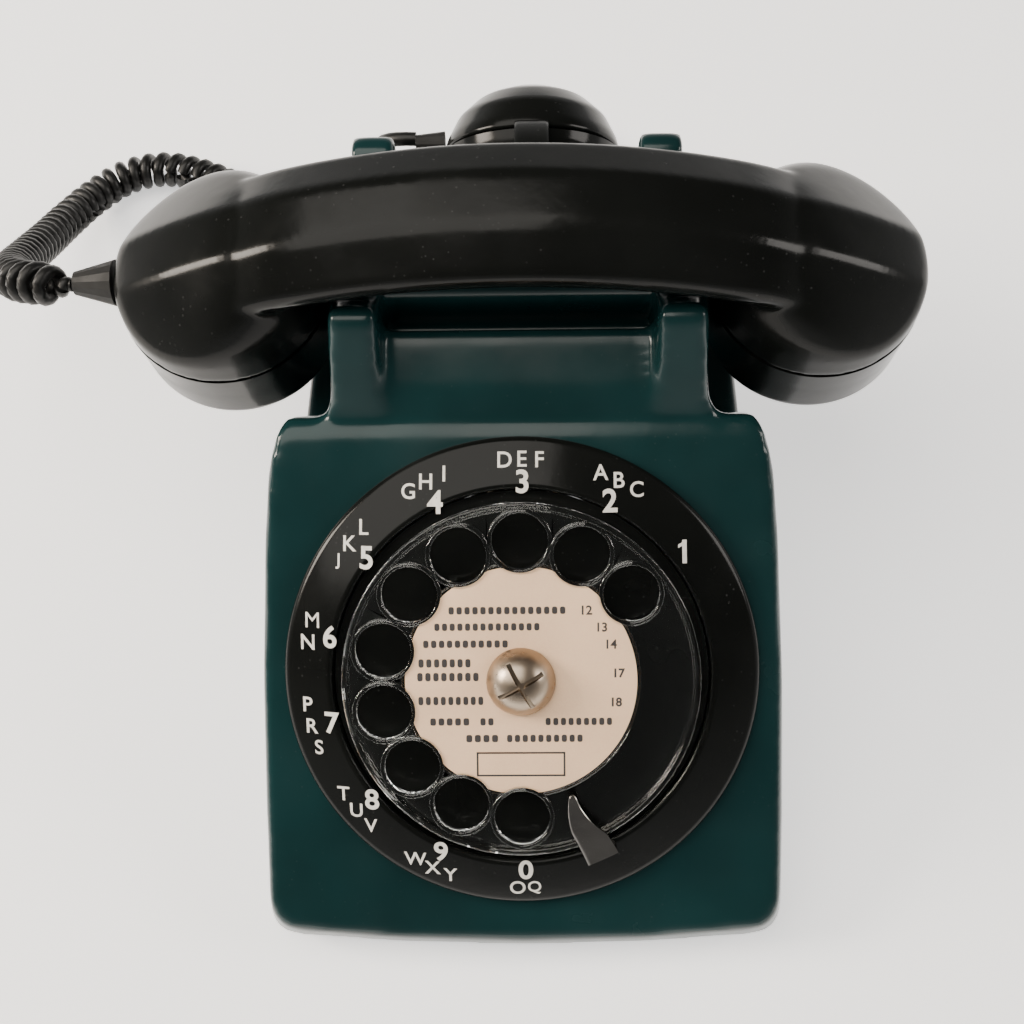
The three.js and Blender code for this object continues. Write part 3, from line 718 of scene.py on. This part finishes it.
LEGEND_SHIFT = np.array([0.8, -0.4])  # the print's middle is a little off the dial's
DIGIT_RADIUS = 55.8
FIGURE_ONE_RADIUS = 57.4
LETTER_RADIUS = 61.9


def glyph(text, height, weight=0.02):
    """A text as a flat mesh: points in millimetres about its own middle, and faces."""
    curve = bpy.data.curves.new("glyph", "FONT")
    curve.body = text
    curve.size = 1
    curve.offset = weight
    curve.resolution_u = 6
    curve.align_x, curve.align_y = "CENTER", "CENTER"
    holder = bpy.data.objects.new("glyph", curve)
    bpy.context.scene.collection.objects.link(holder)
    mesh = evaluated_mesh(holder)
    flat = np.empty(len(mesh.vertices) * 3)
    mesh.vertices.foreach_get("co", flat)
    flat = flat.reshape(-1, 3)
    middle, span = (flat.max(0) + flat.min(0)) / 2, np.ptp(flat[:, 1])
    faces = [tuple(p.vertices) for p in mesh.polygons]
    bpy.data.objects.remove(holder)
    bpy.data.curves.remove(curve)
    bpy.data.meshes.remove(mesh)
    return (flat - middle)[:, :2] * (height / MM / span), faces


def raised(flat, faces, surface, lift, base):
    """A flat print of points x and y laid on a surface, as a closed shell.

    Its top is the surface's height plus lift, and its underside is as far below the surface."""
    form = bmesh.new()
    for x, y in flat:
        form.verts.new((x, y, 0))
    form.verts.ensure_lookup_table()
    for face in faces:
        form.faces.new([form.verts[k] for k in face])
    bmesh.ops.remove_doubles(form, verts=form.verts, dist=1e-4)
    bmesh.ops.recalc_face_normals(form, faces=form.faces)
    top = form.faces[:]
    under = bmesh.ops.extrude_face_region(form, geom=top)
    lowered = [item for item in under["geom"] if isinstance(item, bmesh.types.BMVert)]
    for vert in form.verts:
        vert.co.z = surface(vert.co.x, vert.co.y) + lift
    for vert in lowered:
        vert.co.z -= 2 * lift
    bmesh.ops.recalc_face_normals(form, faces=form.faces)
    form.verts.index_update()
    points = place([tuple(v.co) for v in form.verts], base)
    made = [tuple(v.index for v in f.verts) for f in form.faces]
    form.free()
    return points, made


class TELEPHONE_OT_legends(bpy.types.Operator):
    """Puts the numbers and letters on the ring, upright, each on its finger hole's line"""

    bl_idname = "telephone.legends"
    bl_label = "Numbers and letters"

    def execute(self, context):
        sizes = context.scene.telephone_sizes

        def cone(x, y):
            return RING_CREST[1] - RING_SLOPE * (math.hypot(x, y) - RING_CREST[0])

        prints = []

        def add(text, height, radius, degrees, weight):
            flat, faces = glyph(text, height, weight)
            prints.append(raised(flat + self.spot(radius, degrees), faces, cone, 0.07, DIAL_FRAME))

        for index, digit in enumerate(DIGITS):
            degrees = hole_angle(index)
            radius = FIGURE_ONE_RADIUS if digit == "1" else DIGIT_RADIUS
            add(digit, sizes.digit_height, radius, degrees, 0.022)
            if digit == "1":
                self.flag(prints, radius, degrees, sizes.digit_height / MM, cone)
            letters = LETTERS.get(digit, "")
            # Letters read left to right: clockwise over the top half, the other way round below.
            clockwise = -1 if degrees < 160 else 1
            step = 4.5 + 1.5 * abs(math.cos(math.radians(degrees)))
            for place_number, letter in enumerate(letters):
                shift = place_number - (len(letters) - 1) / 2
                weight = 0 if letter == "M" else 0.012
                add(letter, sizes.letter_height, LETTER_RADIUS, degrees + clockwise * shift * step, weight)
        legends = gathered("dial_legends", prints)
        finished(legends, "root", "card", finish("legend_fill"))
        return {"FINISHED"}

    def spot(self, radius, degrees):
        """The place of a print on the ring, from its radius and its angle from the right."""
        angle = math.radians(degrees)
        return np.array([math.cos(angle), math.sin(angle)]) * radius + LEGEND_SHIFT

    def flag(self, prints, radius, degrees, tall, cone):
        """The slanted stroke at the top of the figure one."""
        stroke = np.array([(0.1, 0.5), (-0.28, 0.3), (-0.28, 0.16), (0.1, 0.34)]) * tall
        place_on_ring = stroke + self.spot(radius, degrees)
        prints.append(raised(place_on_ring, [(0, 1, 2, 3)], cone, 0.09, DIAL_FRAME))


HOLE_PITCH_RADIUS = 39.3
HOLE_RADIUS = 7.8
HOLE_SIDES = 56


def hole_angle(index):
    """Degrees from the right to a finger hole, counted from the figure one's."""
    return 90 - 2 * HOLE_STEP + index * HOLE_STEP


def hole_centres():
    """The ten finger holes' centres in the dial's plane, from 1 to 0."""
    angle = np.radians(hole_angle(np.arange(10)))
    return (np.stack([np.cos(angle), np.sin(angle)], -1) * HOLE_PITCH_RADIUS).tolist()


def hole_bores(radius, sides):
    """Cylinders across the dial's plane, one at each finger hole."""
    profile = [(0, 5), (radius, 5), (radius, 15), (0, 15)]
    return [turned(profile, DIAL_FRAME, centre, sides, closed=False) for centre in hole_centres()]


class TELEPHONE_OT_finger_wheel(bpy.types.Operator):
    """Makes the clear finger wheel with a raised rim and a bead round each hole"""

    bl_idname = "telephone.finger_wheel"
    bl_label = "Finger wheel"

    def execute(self, context):
        bead = context.scene.telephone_sizes.lip_radius / MM
        disc = [
            (3.4, 9.2), (49.2, 9.2), (50, 9.9), (50, 12.2), (49.4, 12.5), (48.4, 12.4), (47.8, 11.2),
            (33.4, 11.2), (32.9, 10.6), (3.4, 10.6),
        ]
        wheel = solid("finger_wheel_acrylic", [turned(rounded(disc, 0.35), DIAL_FRAME, turns=192)], 50)
        ring = np.linspace(0, 2 * np.pi, 14, endpoint=False)
        lip = np.stack([HOLE_RADIUS + bead * (0.75 + np.cos(ring)), 11.15 + bead * np.sin(ring)], -1)
        carved(wheel, [turned(lip, DIAL_FRAME, c, HOLE_SIDES) for c in hole_centres()], "UNION", 50)
        carved(wheel, hole_bores(HOLE_RADIUS, HOLE_SIDES), "DIFFERENCE", 50)
        finished(wheel, "finger_wheel", "clear", finish("clear_acrylic"), "finger_wheel")
        return {"FINISHED"}


CARD_RADIUS = 32.3
CARD_TOP = 11.36  # where the print lies, a hair above the card
PRINT_LIFT = 0.03
BOX_LINE = 0.5
LETTER_STEP = 2.2  # a word is a row of short bars, one for each letter
LETTER_GAP = 0.72
CARD_LINES = [  # height above the card's middle, height of the print, and where each word starts and ends
    (20.0, 2.1, [(-20.2, 12.8)]), (15.4, 2.1, [(-24.2, 5.6)]), (10.6, 2.1, [(-27.4, -3.2)]),
    (5.2, 2.4, [(-28.8, -13.6)]), (1.3, 2.4, [(-29.2, -11.4)]), (-5.5, 2.4, [(-29.0, -10.2)]),
    (-11.5, 2.1, [(-25.8, -14.2), (-11.8, -7.4), (6.4, 25.6)]), (-16.3, 2.1, [(-15.8, -6.2), (-4.4, 17.4)]),
]
CARD_NUMBERS = [  # text, place and weight
    ("12", (18.4, 20.0), 0.02), ("13", (22.6, 15.2), 0.02), ("14", (25.2, 10.4), 0.02),
    ("17", (27.4, 2.2), 0.03), ("18", (26.6, -6.0), 0.03),
]


class TELEPHONE_OT_card(bpy.types.Operator):
    """Makes the round card and its print: plain bars for words, and the numbers to dial"""

    bl_idname = "telephone.card"
    bl_label = "Card"

    def execute(self, context):
        outline = [(4, 10.95), (CARD_RADIUS, 10.95), (CARD_RADIUS, 11.35), (4, 11.35)]
        card = solid("label_card_print_stock", [turned(rounded(outline, 0.08), DIAL_FRAME, turns=160)], 50)
        carved(card, hole_bores(HOLE_RADIUS + 0.9, 48), "DIFFERENCE", 50)
        finished(card, "finger_wheel", "card", finish("cream_card"), "label_card")
        prints = []

        def add(flat, faces):
            prints.append(raised(flat, faces, lambda x, y: CARD_TOP, PRINT_LIFT, DIAL_FRAME))

        for row, tall, words in CARD_LINES:
            low, high = row - tall / 2, row + tall / 2
            for left, right in words:
                count = max(2, round((right - left) / LETTER_STEP))
                edges = np.linspace(left, right, count + 1)
                for a, b in zip(edges[:-1] + LETTER_GAP / 2, edges[1:] - LETTER_GAP / 2):
                    flat = rounded([(a, low), (b, low), (b, high), (a, high)], tall * 0.3, steps=4)
                    add(flat, [tuple(range(len(flat)))])
        for text, spot, weight in CARD_NUMBERS:
            flat, faces = glyph(text, 0.0026, weight)
            add(flat + np.array(spot), faces)
        left, right, low, high = -12.6, 12.2, -27.2, -20.2
        for a, b, c, d in (
            (left, right, low, low + BOX_LINE), (left, right, high - BOX_LINE, high),
            (left, left + BOX_LINE, low, high), (right - BOX_LINE, right, low, high),
        ):
            add([(a, c), (b, c), (b, d), (a, d)], [(0, 1, 2, 3)])
        ink = gathered("card_print", prints)
        finished(ink, "finger_wheel", "card", finish("card_ink"))
        return {"FINISHED"}


class TELEPHONE_OT_centre_cap(bpy.types.Operator):
    """Makes the domed metal cap with crossed slots"""

    bl_idname = "telephone.centre_cap"
    bl_label = "Centre cap"

    def execute(self, context):
        dome = [
            (0, 11.75), (9.5, 11.75), (9.7, 12), (8.9, 14), (7.3, 16.3), (5.3, 18), (2.8, 19), (0, 19.3),
        ]
        profile = rounded(dome, 1.2, closed=False)
        cap = solid("centre_cap_nickel", [turned(profile, DIAL_FRAME, closed=False)], 45)
        crossed = spun(DIAL_FRAME, 29)
        for x, y in ((7, 0.65), (0.65, 7)):
            carved(cap, [block((-x, -y, 16.2), (x, y, 24), crossed)], "DIFFERENCE", 40)
        edge = cap.modifiers.new("edge", "BEVEL")
        edge.width, edge.segments, edge.limit_method = 0.00012, 2, "ANGLE"
        edge.angle_limit = math.radians(40)
        settled(cap, 45)
        finished(cap, "finger_wheel", "bright", finish("nickel"), "centre_cap")
        return {"FINISHED"}


STOP_ANGLE = 155.6  # degrees clockwise from the top of the dial


class TELEPHONE_OT_finger_stop(bpy.types.Operator):
    """Makes the chromed claw that stops the finger"""

    bl_idname = "telephone.finger_stop"
    bl_label = "Finger stop"

    def execute(self, context):
        base = spun(DIAL_FRAME, -STOP_ANGLE)
        # The blade lies flat over the wheel, from its square outer end in to the tip; y runs outwards here.
        bones = [(0, 54.8, 14.7), (0.4, 49, 14.75), (1.7, 44, 14.7), (1.6, 39, 14.6), (0.5, 34.6, 14.5)]
        line = route(bones, 0.4)
        share = np.linspace(0, 1, len(line))
        wide = np.interp(share, [0, 0.28, 0.54, 0.78, 0.93, 0.98, 1], [9.4, 8.8, 6.4, 4.0, 2.7, 1.8, 0.8])
        thick = np.interp(share, [0, 0.9, 1], [1.4, 1.3, 0.8])
        blade = strip(line, (1, 0, 0), thick, wide, base)
        foot_line = route([(-2, 54.1, 7.8), (-2, 54.1, 11), (-2, 54.1, 14.4)], 0.5)
        foot = strip(foot_line, (1, 0, 0), 1.4, 5.2, base)
        claw = solid("finger_stop_claw", [blade, foot], 40)
        finished(claw, "root", "bright", finish("chrome"), "finger_stop")
        return {"FINISHED"}


HEAD_X = 85.4
HANDSET_ARC = 193
BAR_REACH = 86  # half the length of the bar, whose ends are hidden in the heads
RIM = (31, -48)  # radius and height of a head's lower edge
FLAT_HALF, FACET_DROP, FACET_RUN = 7.6, 6.2, 12.4  # the bar's flat top, then the facet beside it
BAR_SECTION = [(7.6, 0), (20, -6.2), (20.8, -9.6), (18.6, -15), (13, -20)]


class TELEPHONE_OT_handset(bpy.types.Operator):
    """Makes the arched handle with its two round heads"""

    bl_idname = "telephone.handset"
    bl_label = "Handset handle"

    def execute(self, context):
        sizes = context.scene.telephone_sizes
        section = rounded([(-v, w) for v, w in BAR_SECTION] + BAR_SECTION[::-1], 1.0, steps=4)
        across, height = section.T
        lean = np.linspace(-1, 1, 161)[:, None] * math.asin(BAR_REACH / HANDSET_ARC)
        along = (HANDSET_ARC + height) * np.sin(lean)
        up = (HANDSET_ARC + height) * np.cos(lean) - HANDSET_ARC
        # Towards its ends the bar sinks into the heads, whose own tops carry its shape on.
        sunk = 4.0 * np.clip((np.abs(along) - 62) / 30, 0, 1) ** 2
        grid = np.stack([along, across + 0 * along, np.maximum(up - sunk, -29)], -1)
        ends = [np.repeat(grid[k].mean(0)[None, None], len(section), 1) for k in (0, -1)]
        bar = shell(place(np.concatenate([ends[0], grid, ends[1]]), HANDSET_FRAME), wrap_columns=True)
        heads = [self.head(sign) for sign in (-1, 1)]
        handle = solid("handset_moulding", [bar, *heads])
        remoulded(handle, sizes.handle_voxel, 12)
        finished(handle, "handset", "black_gloss", finish("black_plastic"), "handset_handle")
        return {"FINISHED"}

    def head(self, sign):
        """A hollow dome on a polar grid, held under the bar's arched facets carried out to the end.

        Its height is the softened lesser of the dome's and the facets'. The hollow is a wall below."""
        crown = (0, -8)
        outer = rounded([crown, (16, -14), (25, -23.6), (29.6, -32.6), (31, -41), RIM], 2.5, closed=False)
        inner = rounded([(27.4, -48), (26.5, -38), (20, -32), (0, -30.6)], 1.5, closed=False)
        radius = np.linspace(0, outer[-2, 0], 60)[1:]
        dome = np.interp(radius, outer[:, 0], outer[:, 1])
        profile = np.vstack([[crown], np.stack([radius, dome], -1), [RIM], inner])
        wall = np.concatenate([np.zeros(len(radius) + 2), np.full(len(inner), 3.2)])
        angle = np.linspace(0, 2 * np.pi, 160, endpoint=False)[:, None]
        x, y = sign * HEAD_X + profile[:, 0] * np.cos(angle), profile[:, 0] * np.sin(angle)
        facet = -FACET_DROP * np.maximum(0, np.abs(y) - FLAT_HALF) / FACET_RUN
        roof = np.sqrt((HANDSET_ARC + facet) ** 2 - x**2) - HANDSET_ARC - wall
        height = profile[:, 1] + 0 * x
        soft = 3.0  # millimetres over which the dome and the facets blend
        lesser = -soft * np.logaddexp(-height / soft, -roof / soft)
        at_rim = profile[:, 1] <= -47
        grid = np.stack([x, y, np.where(at_rim, height, lesser)], -1)
        return shell(place(grid, HANDSET_FRAME), wrap_rows=True)


class TELEPHONE_OT_caps(bpy.types.Operator):
    """Makes the two screwed caps of the handset, with sound holes"""

    bl_idname = "telephone.caps"
    bl_label = "Handset caps"

    def execute(self, context):
        outline = [
            (30.9, -48.35), (30.6, -58), (30.4, -70.5), (29.4, -73.2), (27, -74), (9, -73.4),
            (0, -72.8), (0, -70.6), (25, -71), (27, -66), (27.4, -48.35),
        ]
        profile = rounded(outline, 1.4, closed=False)
        profile = np.vstack([profile, profile[:1]])
        ring = np.radians(np.arange(0, 360, 60))
        spots = [(0, 0), *np.stack([9 * np.cos(ring), 9 * np.sin(ring)], -1).tolist()]
        bore = [(0, -80), (1.2, -80), (1.2, -60), (0, -60)]
        for sign, name in ((-1, "mouthpiece"), (1, "earpiece")):
            shape = turned(profile, HANDSET_FRAME, (sign * HEAD_X, 0), closed=False)
            cap = solid(name + "_cap_moulding", [shape], 50)
            tools = [
                turned(bore, HANDSET_FRAME, (sign * HEAD_X + x, y), 20, closed=False) for x, y in spots
            ]
            carved(cap, tools, "DIFFERENCE", 50)
            finished(cap, "handset", "black_gloss", finish("black_plastic"), name + "_cap")
        return {"FINISHED"}


class TELEPHONE_OT_second_earpiece(bpy.types.Operator):
    """Makes the second earpiece: domed back, hook and cap"""

    bl_idname = "telephone.second_earpiece"
    bl_label = "Second earpiece"

    def execute(self, context):
        dome = [
            (0, 15), (9, 14), (17, 10.6), (23, 5), (26.4, -2), (26.8, -5), (23.4, -5), (21, 0), (15, 6),
            (8, 10), (0, 11),
        ]
        back = turned(rounded(dome, 1.6, closed=False), SECOND_FRAME, closed=False)
        hook = [
            (4, 123.7, 115.6), (4, 131, 116), (4, 138, 115.1), (4, 145, 113), (4, 149.6, 110.4),
            (4, 151, 108), (4, 151, 105.6),
        ]
        hanger = strip(route(hook, 1), (1, 0, 0), 1.7, 10, TABLE_FRAME)
        casing = solid("second_earpiece_back", [back, hanger], 45)
        gloss = finish("black_plastic")
        finished(casing, "second_earpiece", "black_gloss", gloss, "second_earpiece_shell")
        outline = [
            (26.9, -5.5), (26.7, -8), (25.6, -11.8), (23.2, -13.8), (20, -14), (0, -12.6), (0, -10.2),
            (21, -11.4), (23.4, -8), (23.4, -5.5),
        ]
        profile = rounded(outline, 0.8, closed=False)
        profile = np.vstack([profile, profile[:1]])
        cap = solid("second_earpiece_face", [turned(profile, SECOND_FRAME, closed=False)], 50)
        finished(cap, "second_earpiece", "black_gloss", gloss, "second_earpiece_cap")
        return {"FINISHED"}


class TELEPHONE_OT_finishes(bpy.types.Operator):
    """Gives each of the frame's own nodes the finish of its slot"""

    bl_idname = "telephone.finishes"
    bl_label = "Finishes"

    def execute(self, context):
        for part in frame["record"]["subparts"]:
            node = frame["nodes"][part["node"]]
            if node.hide_render:
                continue
            material = finish(SLOT_FINISH[part["material_slot"]])
            for slot in node.material_slots:
                slot.material = material
        return {"FINISHED"}


PIECES = (
    TELEPHONE_OT_stage,
    TELEPHONE_OT_handset_cord,
    TELEPHONE_OT_earpiece_cord,
    TELEPHONE_OT_hood,
    TELEPHONE_OT_number_ring,
    TELEPHONE_OT_legends,
    TELEPHONE_OT_finger_wheel,
    TELEPHONE_OT_card,
    TELEPHONE_OT_centre_cap,
    TELEPHONE_OT_finger_stop,
    TELEPHONE_OT_handset,
    TELEPHONE_OT_caps,
    TELEPHONE_OT_second_earpiece,
    TELEPHONE_OT_finishes,
)


class TELEPHONE_PT_pieces(bpy.types.Panel):
    """Lists the sizes, the colours and a button for each piece"""

    bl_idname = "TELEPHONE_PT_pieces"
    bl_label = "Rotary telephone"
    bl_space_type = "VIEW_3D"
    bl_region_type = "UI"
    bl_category = "Telephone"

    def draw(self, context):
        for group in (context.scene.telephone_sizes, context.scene.telephone_colours):
            for key in group.__annotations__:
                self.layout.prop(group, key)
        for piece in PIECES:
            self.layout.operator(piece.bl_idname)


CLASSES = (TelephoneSizes, TelephoneColours, *PIECES, TELEPHONE_PT_pieces)


def register():
    for cls in CLASSES:
        bpy.utils.register_class(cls)
    bpy.types.Scene.telephone_sizes = PointerProperty(type=TelephoneSizes)
    bpy.types.Scene.telephone_colours = PointerProperty(type=TelephoneColours)


def unregister():
    del bpy.types.Scene.telephone_colours
    del bpy.types.Scene.telephone_sizes
    for cls in reversed(CLASSES):
        bpy.utils.unregister_class(cls)


def main():
    """Makes every piece in order."""
    register()
    for piece in PIECES:
        group, action = piece.bl_idname.split(".")
        getattr(getattr(bpy.ops, group), action)()


if __name__ == "__main__":
    main()
